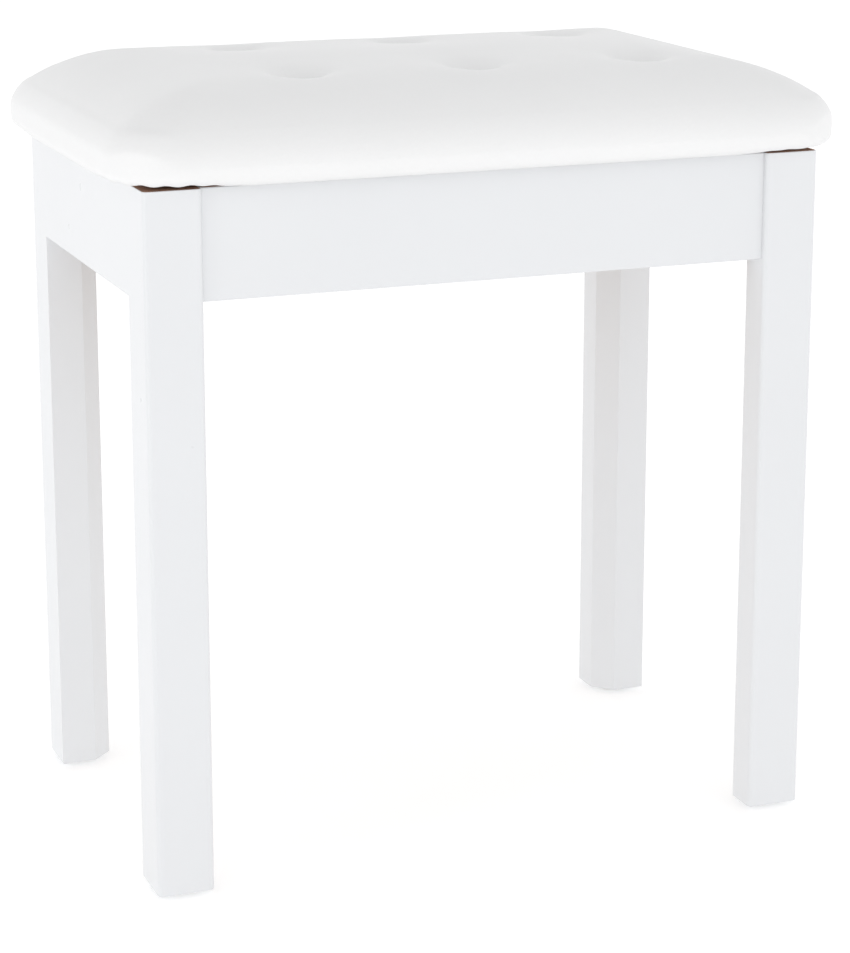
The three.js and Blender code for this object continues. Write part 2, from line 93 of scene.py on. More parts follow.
floor_mesh = bpy.data.meshes.new("studio_floor")
shape = bmesh.new()
bmesh.ops.create_grid(shape, x_segments=1, y_segments=1, size=FLOOR_SIZE / 2)
shape.to_mesh(floor_mesh)
shape.free()
floor = bpy.data.objects.new("studio_floor", floor_mesh)
bpy.context.collection.objects.link(floor)
floor_paint = bpy.data.materials.new("studio_floor")
floor_paint.use_nodes = True
floor_surface = floor_paint.node_tree.nodes["Principled BSDF"]
floor_surface.inputs["Base Color"].default_value = (0.9, 0.9, 0.9, 1)
floor_surface.inputs["Roughness"].default_value = 0.9
floor_surface.inputs["Specular IOR Level"].default_value = 0.1
floor_surface.inputs["Emission Color"].default_value = (1, 1, 1, 1)
floor_surface.inputs["Emission Strength"].default_value = FLOOR_GLOW
floor_mesh.materials.append(floor_paint)


def soft_box(name, place, aim, size, power):
    light = bpy.data.lights.new(name, "AREA")
    light.shape = "RECTANGLE"
    light.size, light.size_y = size
    light.energy = power
    lamp = bpy.data.objects.new(name, light)
    bpy.context.collection.objects.link(lamp)
    lamp.location = place
    lamp.visible_camera = False
    lamp.rotation_euler = (Vector(aim) - Vector(place)).to_track_quat("-Z", "Y").to_euler()


soft_box("front_soft_box", (0.4, -2.9, 1.25), (0, 0, 0.3), (2.2, 1.6), 3)
soft_box("left_strip_light", (-1.15, -0.45, 0.32), (-0.1, 0, 0.25), (0.12, 0.62), 0.6)


# --- Legs ---------------------------------------------------------------------------------
# Four square wooden legs, lacquered white, with rounded outer edges and the inner corner
# cut off. Their tops are left raw.
LEG_ROUND = 0.003
LEG_CHAMFER = 0.013
RIM_ROUND = 0.0006
LACQUER_WHITE = (0.75, 0.76, 0.775)
RAW_TOP = (0.36, 0.2, 0.135)


class Shade:
    """A socket in a material's nodes. Arithmetic on it adds Math nodes."""

    def __init__(self, tree, socket=None):
        self.tree = tree
        self.socket = socket

    def node(self, kind, settings=None, inputs=None, output=0):
        made = self.tree.nodes.new("ShaderNode" + kind)
        for name, value in (settings or {}).items():
            if name == "stops":
                ramp = made.color_ramp
                while len(ramp.elements) < len(value):
                    ramp.elements.new(0.5)
                for element, (position, color) in zip(ramp.elements, value):
                    element.position = position
                    element.color = (*color, 1)
            else:
                setattr(made, name, value)
        for name, value in (inputs or {}).items():
            if isinstance(value, Shade):
                self.tree.links.new(value.socket, made.inputs[name])
            else:
                made.inputs[name].default_value = value
        return Shade(self.tree, made.outputs[output])

    def _math(self, operation, first, second):
        return self.node("Math", {"operation": operation}, {0: first, 1: second})

    def __add__(self, other):
        return self._math("ADD", self, other)

    def __sub__(self, other):
        return self._math("SUBTRACT", self, other)

    def __rsub__(self, other):
        return self._math("SUBTRACT", other, self)

    def __mul__(self, other):
        return self._math("MULTIPLY", self, other)

    __radd__ = __add__
    __rmul__ = __mul__

    def clamped(self, low, high):
        return self.node("Clamp", None, {"Value": self, "Min": low, "Max": high})

    def mixed(self, first, second):
        """Blends two colours, from first where this value is 0 to second where it is 1."""
        mix = self.tree.nodes.new("ShaderNodeMix")
        mix.data_type = "RGBA"
        self.tree.links.new(self.socket, mix.inputs["Factor"])
        ends = [socket for socket in mix.inputs if socket.type == "RGBA"]
        for end, color in zip(ends, (first, second)):
            end.default_value = (*color, 1)
        return Shade(self.tree, next(s for s in mix.outputs if s.type == "RGBA"))

    def grain(self, scale, detail=2.0, stretch=(1, 1, 1), roughness=0.5):
        """Noise over the object's own coordinates, from 0 to 1. The scale is per metre."""
        place = self.node("TexCoord", None, None, "Object")
        place = self.node("Mapping", None, {"Vector": place, "Scale": stretch})
        settings = {"noise_dimensions": "3D"}
        return self.node(
            "TexNoise",
            settings,
            {"Vector": place, "Scale": scale, "Detail": detail, "Roughness": roughness},
        )

    def cells(self, scale, feature="F1", randomness=1.0, output="Distance"):
        """Voronoi cells over the object's own coordinates. The scale is per metre."""
        place = self.node("TexCoord", None, None, "Object")
        inputs = {"Vector": place, "Scale": scale, "Randomness": randomness}
        return self.node("TexVoronoi", {"feature": feature}, inputs, output)


def new_finish(name, constants):
    """A material with its constant sockets set, and a Shade to build the rest from."""
    finish = bpy.data.materials.new(name)
    finish.use_nodes = True
    surface = finish.node_tree.nodes["Principled BSDF"]
    for socket, value in constants.items():
        surface.inputs[socket].default_value = value
    return finish, Shade(finish.node_tree)


def coat(finish, **feeds):
    """Links varying values to a material's sockets, named with _ for a space."""
    surface = finish.node_tree.nodes["Principled BSDF"]
    for name, value in feeds.items():
        finish.node_tree.links.new(value.socket, surface.inputs[name.replace("_", " ")])


def relief(shade, height, depth):
    """A bump whose height of 1 stands for depth metres."""
    return shade.node("Bump", None, {"Height": height, "Strength": 1.0, "Distance": depth})


lacquer, shade = new_finish(
    "cool_white_lacquer",
    {"Coat Weight": 0.25, "Coat Roughness": 0.12, "Specular IOR Level": 0.5},
)
cloud = shade.grain(9, 3)
dust = shade.grain(60, 2)
coat(
    lacquer,
    Base_Color=cloud.mixed(
        tuple(c * 0.985 for c in LACQUER_WHITE), tuple(min(1, c * 1.012) for c in LACQUER_WHITE)
    ),
    Roughness=0.26 + 0.06 * dust,
)

raw_board, shade = new_finish("raw_board_edge", {"Specular IOR Level": 0.25})
fibres = shade.grain(700, 5, roughness=0.7)
patches = shade.grain(70, 3)
coat(
    raw_board,
    Base_Color=(0.65 * fibres + 0.45 * patches).clamped(0, 1).mixed(
        tuple(c * 0.55 for c in RAW_TOP), tuple(c * 1.35 for c in RAW_TOP)
    ),
    Roughness=0.75 + 0.2 * fibres,
    Normal=relief(shade, fibres, 0.0004),
)


def bevelled(shape, edges, width, segments):
    bmesh.ops.bevel(
        shape,
        geom=edges,
        offset=width,
        offset_type="OFFSET",
        segments=segments,
        profile=0.5,
        affect="EDGES",
        material=-1,
        clamp_overlap=True,
    )


def block(low, high):
    """A bmesh box from its lowest to its highest corner."""
    shape = bmesh.new()
    bmesh.ops.create_cube(shape, size=1)
    bmesh.ops.scale(shape, vec=high - low, verts=shape.verts)
    bmesh.ops.translate(shape, vec=(low + high) / 2, verts=shape.verts)
    return shape


def edges_along(shape, axis, keep=lambda middle: True):
    """The edges that run along an axis, 0 to 2, and whose middle passes the test."""
    found = []
    for edge in shape.edges:
        run = edge.verts[1].co - edge.verts[0].co
        middle = (edge.verts[1].co + edge.verts[0].co) / 2
        if abs(run[axis]) > 0.999 * run.length and keep(middle):
            found.append(edge)
    return found


def rim_edges(shape, level, axis=2):
    """The edges that lie at one level, both ends of them."""
    return [e for e in shape.edges if all(abs(v.co[axis] - level) < 1e-6 for v in e.verts)]


def piece_from(shape, name, body, materials, replaced=(), sharp=40):
    """Makes the finished object of a bmesh with its materials, ties it to its body, and hides the CAD nodes
    it replaces.
    """
    bmesh.ops.remove_doubles(shape, verts=shape.verts, dist=1e-7)
    bmesh.ops.recalc_face_normals(shape, faces=shape.faces)
    mesh = bpy.data.meshes.new(name)
    shape.to_mesh(mesh)
    shape.free()
    mesh.shade_smooth()
    mesh.set_sharp_from_angle(angle=math.radians(sharp))
    for material in materials:
        mesh.materials.append(material)
    made = bpy.data.objects.new(name, mesh)
    bpy.context.collection.objects.link(made)
    even_shading = made.modifiers.new("even_shading", "WEIGHTED_NORMAL")
    even_shading.keep_sharp = True
    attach(made, body)
    if replaced:
        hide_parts(*replaced)
    return made


def raw_on_top(shape, level):
    for face in shape.faces:
        if face.normal.z > 0.99 and face.calc_center_median().z > level - 1e-5:
            face.material_index = 1


CORNERS = [f"{end}_{side}" for end in ("front", "rear") for side in ("left", "right")]

for corner in CORNERS:
    low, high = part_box(f"{corner}_leg")
    middle = (low + high) / 2
    inner_x = low.x if middle.x > 0 else high.x
    inner_y = low.y if middle.y > 0 else high.y
    side_x = low.x + high.x - inner_x
    shape = block(low, high)

    def at(x, y):
        return lambda m: abs(m.x - x) < 1e-6 and abs(m.y - y) < 1e-6

    bevelled(shape, edges_along(shape, 2, at(inner_x, inner_y)), LEG_CHAMFER, 1)
    outer_y = low.y + high.y - inner_y
    rounded = edges_along(shape, 2, at(side_x, outer_y)) + edges_along(shape, 2, at(inner_x, outer_y))
    bevelled(shape, rounded, LEG_ROUND, 5)
    bevelled(shape, rim_edges(shape, low.z) + rim_edges(shape, high.z), RIM_ROUND, 2)
    shape.normal_update()
    raw_on_top(shape, high.z)
    piece_from(
        shape, f"{corner}_wood_leg", "frame", [lacquer, raw_board], [f"{corner}_leg"], 35
    )


# --- Glides -------------------------------------------------------------------------------
# A white plastic disc under each leg, held by its own nail. The nail is out of sight in the
# leg, and the disc's rim is rounded so that it slides.
GLIDE_RIM = 0.0011
NAIL_RADIUS = 0.0012
NAIL_POINT = 0.003
TURN_STEPS = 40


def turned(profile, steps=TURN_STEPS):
    """A turned piece about Z from points of radius and height that begin and end on the axis."""
    shape = bmesh.new()
    line = [shape.verts.new((radius, 0, height)) for radius, height in profile]
    edges = [shape.edges.new(pair) for pair in zip(line, line[1:])]
    bmesh.ops.spin(
        shape,
        geom=line + edges,
        cent=(0, 0, 0),
        axis=(0, 0, 1),
        dvec=(0, 0, 0),
        angle=2 * math.pi,
        steps=steps,
        use_merge=True,
        use_duplicate=False,
    )
    bmesh.ops.remove_doubles(shape, verts=shape.verts, dist=1e-7)
    bmesh.ops.recalc_face_normals(shape, faces=shape.faces)
    return shape


def rim(radius, height, round_by, start, end, steps=4):
    """A profile's rounded corner, from one angle to another in degrees about its own centre."""
    points = []
    for step in range(steps + 1):
        angle = math.radians(start + (end - start) * step / steps)
        points.append((radius + round_by * math.cos(angle), height + round_by * math.sin(angle)))
    return points


glide_plastic, shade = new_finish("glide_plastic", {"Specular IOR Level": 0.4})
scuffs = shade.grain(900, 3, stretch=(1, 0.15, 1))
coat(
    glide_plastic,
    Base_Color=shade.grain(160, 3).mixed((0.6, 0.6, 0.57), (0.72, 0.72, 0.69)),
    Roughness=0.42 + 0.25 * scuffs,
    Normal=relief(shade, scuffs, 0.00006),
)

for corner in CORNERS:
    low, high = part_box(f"{corner}_glide")
    leg_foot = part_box(f"{corner}_leg")[0].z
    radius = (high.x - low.x) / 2
    profile = [(0, low.z), (radius - GLIDE_RIM, low.z)]
    profile += rim(radius - GLIDE_RIM, low.z + GLIDE_RIM, GLIDE_RIM, -90, 0)[1:]
    profile += [(radius, leg_foot), (NAIL_RADIUS, leg_foot)]
    profile += [(NAIL_RADIUS, high.z - NAIL_POINT), (0, high.z)]
    shape = turned(profile)
    bmesh.ops.translate(shape, vec=((low.x + high.x) / 2, (low.y + high.y) / 2, 0), verts=shape.verts)
    piece_from(shape, f"{corner}_nail_glide", "frame", [glide_plastic], [f"{corner}_glide"])


# --- Aprons -------------------------------------------------------------------------------
# Four lacquered boards between the legs. The front and back ones are set back from the
# legs' faces, the side ones lie flush. All are grooved inside and have raw top edges.
APRON_ROUND = 0.0007


def merged_copy(node):
    """A frame node's shape with its doubles merged and its flat faces whole again."""
    shape = bmesh.new()
    shape.from_mesh(frame["nodes"][node].data)
    bmesh.ops.remove_doubles(shape, verts=shape.verts, dist=1e-6)
    bmesh.ops.dissolve_limit(shape, angle_limit=math.radians(2), verts=shape.verts, edges=shape.edges)
    return shape


def eased(shape, width, segments=2, corner=40, keep=lambda middle: True):
    """Rounds every edge that turns more than a corner's angle, in degrees."""
    edges = []
    for edge in shape.edges:
        middle = (edge.verts[0].co + edge.verts[1].co) / 2
        if edge.is_manifold and edge.calc_face_angle() > math.radians(corner) and keep(middle):
            edges.append(edge)
    bevelled(shape, edges, width, segments)
    return shape


for side in ("front", "back", "left", "right"):
    low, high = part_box(f"{side}_apron")

    def outer_edge(middle):
        return abs(middle.z - low.z) < 1e-5 or abs(middle.z - high.z) < 1e-5

    shape = eased(merged_copy(f"{side}_apron"), APRON_ROUND, keep=outer_edge)
    shape.normal_update()
    raw_on_top(shape, high.z)
    piece_from(shape, f"{side}_board", "frame", [lacquer, raw_board], [f"{side}_apron"], 35)


# --- Corner blocks and bolts --------------------------------------------------------------
# A pine block across each corner inside, pulled tight by two zinc bolts that go through it
# into the leg. Each bolt has a round head with a six-sided socket for a key.
BLOCK_ROUND = 0.0008
SOCKET_ACROSS = 0.0024
SOCKET_DEPTH = 0.0028
BOLT_RIM = 0.0008
BOLT_EASE = 0.0003

pine, shade = new_finish("bare_pine", {"Specular IOR Level": 0.3})
rings = shade.grain(260, 3, stretch=(1, 1, 0.07), roughness=0.6)
pith = shade.grain(1500, 2, stretch=(1, 1, 0.05))
coat(
    pine,
    Base_Color=(1.6 * rings - 0.3 + 0.25 * pith).clamped(0, 1).mixed(
        (0.67, 0.49, 0.3), (0.42, 0.26, 0.13)
    ),
    Roughness=0.62 + 0.2 * pith,
    Normal=relief(shade, rings + 0.5 * pith, 0.00025),
)

zinc, shade = new_finish("zinc_plated_steel", {})
spangle = shade.cells(520, output="Color")
haze = shade.grain(1300, 3)
coat(
    zinc,
    Base_Color=haze.mixed((0.5, 0.51, 0.52), (0.68, 0.69, 0.68)),
    Roughness=0.3 + 0.18 * haze + 0.06 * shade.grain(300, 2),
    Metallic=1 - 0.04 * haze,
    Normal=relief(shade, haze + 0.4 * spangle, 0.00002),
)


def carved(shape, *cutters):
    """Cuts closed shapes away from a shape."""
    solids = []
    for part in (shape, *cutters):
        mesh = bpy.data.meshes.new("carving")
        part.to_mesh(mesh)
        part.free()
        solid = bpy.data.objects.new("carving", mesh)
        bpy.context.collection.objects.link(solid)
        solids.append(solid)
    for cutter in solids[1:]:
        cut = solids[0].modifiers.new("cut", "BOOLEAN")
        cut.operation = "DIFFERENCE"
        cut.solver = "EXACT"
        cut.object = cutter
    graph = bpy.context.evaluated_depsgraph_get()
    carved_shape = bmesh.new()
    carved_shape.from_mesh(solids[0].evaluated_get(graph).data)
    for solid in solids:
        bpy.data.objects.remove(solid)
    return carved_shape


def together(shapes):
    """One shape of several separate ones."""
    whole = bmesh.new()
    for part in shapes:
        mesh = bpy.data.meshes.new("part")
        part.to_mesh(mesh)
        part.free()
        whole.from_mesh(mesh)
        bpy.data.meshes.remove(mesh)
    return whole


def set_at(shape, place, along):
    """Turns a shape's +Z to a direction, and its origin to a place."""
    turn = Vector(along).to_track_quat("Z", "Y").to_matrix().to_4x4()
    bmesh.ops.transform(shape, matrix=Matrix.Translation(place) @ turn, verts=shape.verts)
    return shape


def end_of(node, way):
    """The middle of a node's last face in a direction."""
    points = [v.co for v in frame["nodes"][node].data.vertices]
    reach = max(point.dot(way) for point in points)
    last = [point for point in points if reach - point.dot(way) < 2e-5]
    return Vector([(min(p[i] for p in last) + max(p[i] for p in last)) / 2 for i in range(3)])


for corner in CORNERS:
    shape = eased(merged_copy(f"{corner}_corner_block"), BLOCK_ROUND)
    piece_from(shape, f"{corner}_pine_block", "frame", [pine], [f"{corner}_corner_block"])
    low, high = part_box(f"{corner}_leg")
    into_leg = Vector((math.copysign(1, low.x), math.copysign(1, low.y), 0)).normalized()
    for level in ("lower", "upper"):
        node = f"{corner}_{level}_bolt"
        head = end_of(node, -into_leg)
        length = (end_of(node, into_leg) - head).length
        low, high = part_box(node)
        head_radius = (high.z - low.z) / 2
        shank_radius = 0.6 * head_radius
        profile = [(0, 0)] + rim(head_radius - BOLT_RIM, BOLT_RIM, BOLT_RIM, -90, 0)
        profile += rim(head_radius - BOLT_EASE, head_radius - 2 * BOLT_EASE, BOLT_EASE, 0, 90, 2)
        profile += [(shank_radius, head_radius - BOLT_EASE), (shank_radius, length - 0.002), (0, length)]
        socket = bmesh.new()
        bmesh.ops.create_cone(
            socket,
            cap_ends=True,
            segments=6,
            radius1=SOCKET_ACROSS,
            radius2=SOCKET_ACROSS,
            depth=2 * SOCKET_DEPTH,
        )
        shape = set_at(carved(turned(profile, 32), socket), head, into_leg)
        piece_from(shape, f"{corner}_{level}_socket_bolt", "frame", [zinc], [node])


# --- Compartment floor --------------------------------------------------------------------
# A thin brown hardboard panel that slides into the four grooves, smooth on its upper side,
# and notched round the legs.
PANEL_ROUND = 0.0003

hardboard, shade = new_finish("brown_hardboard", {"Specular IOR Level": 0.3})
fleck = shade.grain(900, 4, roughness=0.7)
blotch = shade.grain(35, 3)
coat(
    hardboard,
    Base_Color=(0.6 * fleck + 0.5 * blotch).clamped(0, 1).mixed((0.2, 0.115, 0.06), (0.36, 0.23, 0.135)),
    Roughness=0.5 + 0.25 * fleck,
    Normal=relief(shade, fleck, 0.00012),
)
shape = eased(merged_copy("compartment_floor"), PANEL_ROUND)
piece_from(shape, "hardboard_floor", "frame", [hardboard], ["compartment_floor"])


# --- Lid bumpers --------------------------------------------------------------------------
# Two small rubber domes glued to the top of the front apron, on which the closed lid rests.
BUMPER_ROUND = 0.0012
BUMPER_TAPER = 0.0012
BUMPER_FOOT = 0.0006

rubber, shade = new_finish("bumper_rubber", {"Specular IOR Level": 0.35})
mottle = shade.grain(700, 3)
coat(
    rubber,
    Base_Color=mottle.mixed((0.018, 0.018, 0.018), (0.045, 0.044, 0.042)),
    Roughness=0.7 + 0.2 * mottle,
    Normal=relief(shade, mottle, 0.00008),
)
for side in ("left", "right"):
    low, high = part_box(f"{side}_lid_bumper")
    radius = (high.x - low.x) / 2
    profile = [(0, low.z), (radius, low.z), (radius, low.z + BUMPER_FOOT)]
    profile += rim(radius - BUMPER_TAPER - BUMPER_ROUND, high.z - BUMPER_ROUND, BUMPER_ROUND, 20, 90)
    profile += [(0, high.z)]
    shape = turned(profile)
    bmesh.ops.translate(shape, vec=((low.x + high.x) / 2, (low.y + high.y) / 2, 0), verts=shape.verts)
    piece_from(shape, f"{side}_rubber_bumper", "frame", [rubber], [f"{side}_lid_bumper"])


# --- Lid board ----------------------------------------------------------------------------
# A rounded plywood board under the cushion, drilled for the button cords and the hinge
# screws. Its plies show on its edge.
BOARD_ROUND = 0.0008

plywood, shade = new_finish("birch_plywood", {"Specular IOR Level": 0.3})
figure = shade.grain(90, 4, stretch=(0.08, 1, 1))
place = shade.node("TexCoord", None, None, "Object")
ply = shade.node(
    "TexWave", {"bands_direction": "Z"}, {"Vector": place, "Scale": 95.0, "Distortion": 0.6}
)
coat(
    plywood,
    Base_Color=(0.45 * figure + 0.5 * ply).clamped(0, 1).mixed((0.66, 0.5, 0.33), (0.45, 0.31, 0.18)),
    Roughness=0.6 + 0.2 * figure,
    Normal=relief(shade, figure, 0.0001),
)
shape = eased(merged_copy("lid_board"), BOARD_ROUND)
piece_from(shape, "plywood_board", "lid", [plywood], ["lid_board"])


# --- Seat cushion -------------------------------------------------------------------------
# One foam pad under white leatherette, pulled down by two rows of three buttons and turned
# under the lid board. The leatherette is stapled below, and gathers a little at the corners.
SEAT_ROUND = 0.042
UNDER_ROLL = 0.010
SHOULDER_REACH = 0.080
CROWN = 0.003
VOXEL = 0.004
SWELL = 0.003
PRESSURE = 3.0
CAP = 0.003
END_TUCK = 0.0015
TUFT_RADIUS = 0.009
TUFT_DEPTH = 0.0105
SOFT_RADIUS = 0.0165
SOFT_DEPTH = 0.008
BUTTON_HOLD = 0.009
HEM_SAG = 0.0013
GATHER_PITCH = 0.017
GATHER_HEIGHT = 0.0016
LINING_RECESS = 0.0014
LINING_CORNER = 0.026
SEAT_WHITE = (0.83, 0.83, 0.83)

seat_low, seat_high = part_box("seat_cover")
seat_half = (seat_high - seat_low) / 2
lining_low, lining_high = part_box("underside_lining")
tuft_places = []
for number in range(1, 7):
    low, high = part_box(f"tuft_button_{number}")
    tuft_places.append(((low.x + high.x) / 2, (low.y + high.y) / 2))


def plan_depth(x, y):
    """How far a plan point lies inside the outline, whose corners grow rounder inwards."""
    from_end = seat_half.x - END_TUCK - abs(x)
    from_side = seat_half.y - abs(y)
    inwards = max(from_end, 0) * max(from_side, 0) / max(from_end + from_side, 1e-6)
    round_here = SEAT_ROUND + 0.7 * inwards
    corner = math.hypot(max(round_here - from_end, 0), max(round_here - from_side, 0))
    return max(min(from_end, from_side), round_here) - corner


def way_out(x, y):
    """The plan direction towards the nearest edge."""
    step = 0.001
    slope_x = plan_depth(x + step, y) - plan_depth(x - step, y)
    slope_y = plan_depth(x, y + step) - plan_depth(x, y - step)
    slope = Vector((-slope_x, -slope_y, 0))
    return slope.normalized() if slope.length > 1e-9 else slope


def tuft_pull(x, y):
    """How far the buttons draw the surface down at a plan point, with a few short folds."""
    pull = 0
    for number, (tuft_x, tuft_y) in enumerate(tuft_places):
        distance = math.hypot(x - tuft_x, y - tuft_y)
        angle = math.atan2(y - tuft_y, x - tuft_x)
        fold = math.cos(4 * angle + 1.3 * number) + 0.5 * math.cos(7 * angle + number)
        reach = TUFT_RADIUS * (1 + 0.13 * fold)
        pull += TUFT_DEPTH * math.exp(-((distance / reach) ** 1.9))
        pull += SOFT_DEPTH * math.exp(-((distance / SOFT_RADIUS) ** 2))
    return pull


def corner_share(x, y):
    """1 in the seat's corners, fading to 0 along its sides."""
    short_x = max(seat_half.x - 0.05 - abs(x), 0)
    short_y = max(seat_half.y - 0.05 - abs(y), 0)
    return max(1 - math.hypot(short_x, short_y) / 0.03, 0)


shape = block(seat_low, seat_high)
bevelled(shape, edges_along(shape, 2), SEAT_ROUND, 8)
bevelled(shape, rim_edges(shape, seat_low.z), UNDER_ROLL, 4)
mesh = bpy.data.meshes.new("seat_blank")
shape.to_mesh(mesh)
shape.free()
blank = bpy.data.objects.new("seat_blank", mesh)
bpy.context.collection.objects.link(blank)
remesh = blank.modifiers.new("even_grid", "REMESH")
remesh.mode = "VOXEL"
remesh.voxel_size = VOXEL
graph = bpy.context.evaluated_depsgraph_get()
even = bpy.data.meshes.new_from_object(blank.evaluated_get(graph))
bpy.data.objects.remove(blank)

# The block's walls and the outer part of its top are bent into one quarter-round shoulder,
# and the rest of the top is crowned.
base = seat_low.z + UNDER_ROLL
wall = seat_high.z - base
for vert in even.vertices:
    x, y, z = vert.co
    if z <= base:
        continue
    share = min((z - base) / wall, 1)
    depth = max(plan_depth(x, y), 0) if share > 0.97 else 0
    travel = min((share * wall + depth) / (wall + SHOULDER_REACH), 1)
    bend = travel * math.pi / 2
    inset = SHOULDER_REACH * (1 - math.cos(bend)) if depth < SHOULDER_REACH else depth
    now_at = max(plan_depth(x, y), 0)
    moved = vert.co + way_out(x, y) * (now_at - inset)
    inner = min(max(inset - 0.4 * SHOULDER_REACH, 0) / (seat_half.y - 0.4 * SHOULDER_REACH), 1)
    crown = CROWN * (1 - (1 - inner) ** 2)
    height = (wall - CROWN - SWELL) * math.sin(bend) + crown
    vert.co = (moved.x, moved.y, base + height)
for vert in even.vertices:
    if vert.co.z > base:
        vert.co.z -= tuft_pull(vert.co.x, vert.co.y) * min((vert.co.z - base) / (0.7 * wall), 1)

# Below, the leatherette sags a little under the board's edge and gathers at the corners, and
# there is room for the lining inside the hem.
for vert in even.vertices:
    x, y, z = vert.co
    if z >= base:
        continue
    corner = corner_share(x, y)
    around = math.atan2(abs(y) - seat_half.y + 0.05, abs(x) - seat_half.x + 0.05) * 0.05
    gather = 0.5 + 0.5 * math.sin(2 * math.pi * around / GATHER_PITCH + 1.1 * x + y)
    low_share = (base - z) / UNDER_ROLL
    past_x = max(abs(x) - lining_high.x + LINING_CORNER, 0)
    past_y = max(abs(y) - lining_high.y + LINING_CORNER, 0)
    if math.hypot(past_x, past_y) < LINING_CORNER:
        vert.co.z += LINING_RECESS
    elif plan_depth(x, y) < 0.016:
        lift = GATHER_HEIGHT * (0.65 - 0.35 * x / seat_half.x)
        vert.co.z += low_share * (corner * lift * gather - (1 - corner) * HEM_SAG)

cushion = bpy.data.objects.new("leatherette_seat", even)
bpy.context.collection.objects.link(cushion)
held = cushion.vertex_groups.new(name="held")
start = [v.co.copy() for v in even.vertices]
for vert in even.vertices:
    x, y, z = vert.co
    near_button = min(math.hypot(x - bx, y - by) for bx, by in tuft_places)
    if z < base - 0.001:
        held.add([vert.index], 1.0, "REPLACE")
    elif z > base + 0.01 and near_button < BUTTON_HOLD:
        held.add([vert.index], 1.0, "REPLACE")

cloth = cushion.modifiers.new("leatherette", "CLOTH")
cloth.settings.vertex_group_mass = "held"
cloth.settings.use_pressure = True
cloth.settings.uniform_pressure_force = PRESSURE
cloth.settings.mass = 0.4
cloth.settings.tension_stiffness = 40
cloth.settings.compression_stiffness = 40
cloth.settings.shear_stiffness = 15
cloth.settings.bending_stiffness = 4.0
cloth.settings.effector_weights.gravity = 0
cloth.point_cache.frame_start = 1
cloth.point_cache.frame_end = 20
for step in range(1, 21):
    bpy.context.scene.frame_set(step)
graph = bpy.context.evaluated_depsgraph_get()
settled = [v.co.copy() for v in cushion.evaluated_get(graph).data.vertices]
cushion.modifiers.remove(cloth)
bpy.context.scene.frame_set(1)
moves = [ended - began for began, ended in zip(start, settled)]
for vert, began, move in zip(even.vertices, start, moves):
    vert.co = began + move * min(1, CAP / max(move.length, 1e-9))

# The swollen pad is brought back inside the seat's own height and outline.
swollen_top = max(v.co.z for v in even.vertices)
squeeze = (seat_high.z - base) / (swollen_top - base)
for vert in even.vertices:
    if vert.co.z > base:
        vert.co.z = base + (vert.co.z - base) * squeeze
    depth = plan_depth(vert.co.x, vert.co.y)
    if depth < 0:
        vert.co += way_out(vert.co.x, vert.co.y) * depth

leatherette, shade = new_finish(
    "white_leatherette",
    {"Specular IOR Level": 0.45, "Sheen Weight": 0.05, "Sheen Roughness": 0.5},
)
pebble = shade.cells(620, "SMOOTH_F1")
pores = shade.grain(2600, 2)
creases = shade.grain(230, 3)
tone = shade.grain(11, 3)
coat(
    leatherette,
    Base_Color=tone.mixed(tuple(c * 0.975 for c in SEAT_WHITE), tuple(c * 1.02 for c in SEAT_WHITE)),
    Roughness=0.42 + 0.12 * shade.grain(160, 3),
    Normal=relief(shade, 0.55 * pebble + 0.2 * pores + 0.5 * creases, 0.00016),
)
even.materials.append(leatherette)
even.shade_smooth()
smooth = cushion.modifiers.new("fine_surface", "SUBSURF")
smooth.levels = smooth.render_levels = 1
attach(cushion, "lid")
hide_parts("seat_cover", "seat_foam")


# --- Tuft buttons -------------------------------------------------------------------------
# Six domed buttons covered in the same leatherette, each on a cord through the foam to the
# board. They sit deep in their dimples.
BUTTON_EDGE = 0.0012
BUTTON_CAP = 0.0045
BUTTON_LIP = 0.0008
CORD_RADIUS = 0.0015

for number in range(1, 7):
    low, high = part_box(f"tuft_button_{number}")
    radius = (high.x - low.x) / 2
    cap_low = high.z - BUTTON_CAP
    profile = [(0, low.z), (CORD_RADIUS, low.z), (CORD_RADIUS, cap_low)]
    profile += [(radius - BUTTON_LIP, cap_low)]
    for step in range(9):
        angle = math.radians(90 * step / 8)
        height = cap_low + BUTTON_EDGE + (high.z - cap_low - BUTTON_EDGE) * math.sin(angle)
        profile.append((radius * math.cos(angle) ** 0.8, height))
    profile[-1] = (0, high.z)
    shape = turned(profile)
    bmesh.ops.translate(shape, vec=((low.x + high.x) / 2, (low.y + high.y) / 2, 0), verts=shape.verts)
    piece_from(
        shape, f"covered_button_{number}", "lid", [leatherette], [f"tuft_button_{number}"], 50
    )


# --- Underside lining and staples ---------------------------------------------------------
# A black non-woven dust cloth under the lid that hides the hem, pulled taut by a row of
# wire staples.
LINING_STEP = 0.006
LINING_THICKNESS = 0.0003
LINING_WAVE = 0.00016
STAPLE_INSET = 0.006
STAPLE_PITCH = 0.026
STAPLE_LENGTH = 0.0105
STAPLE_WIRE = 0.0011

black_cloth, shade = new_finish(
    "black_dust_cloth", {"Specular IOR Level": 0.2, "Sheen Weight": 0.15, "Sheen Roughness": 0.6}
)
bonds = shade.cells(900, randomness=0.25)
strands = shade.grain(2200, 3, stretch=(1, 0.3, 1))
coat(
    black_cloth,
    Base_Color=(0.6 * strands + 0.5 * bonds).clamped(0, 1).mixed((0.012, 0.012, 0.013), (0.05, 0.05, 0.052)),
    Roughness=0.78 + 0.15 * strands,
    Normal=relief(shade, bonds + 0.5 * strands, 0.0002),
)

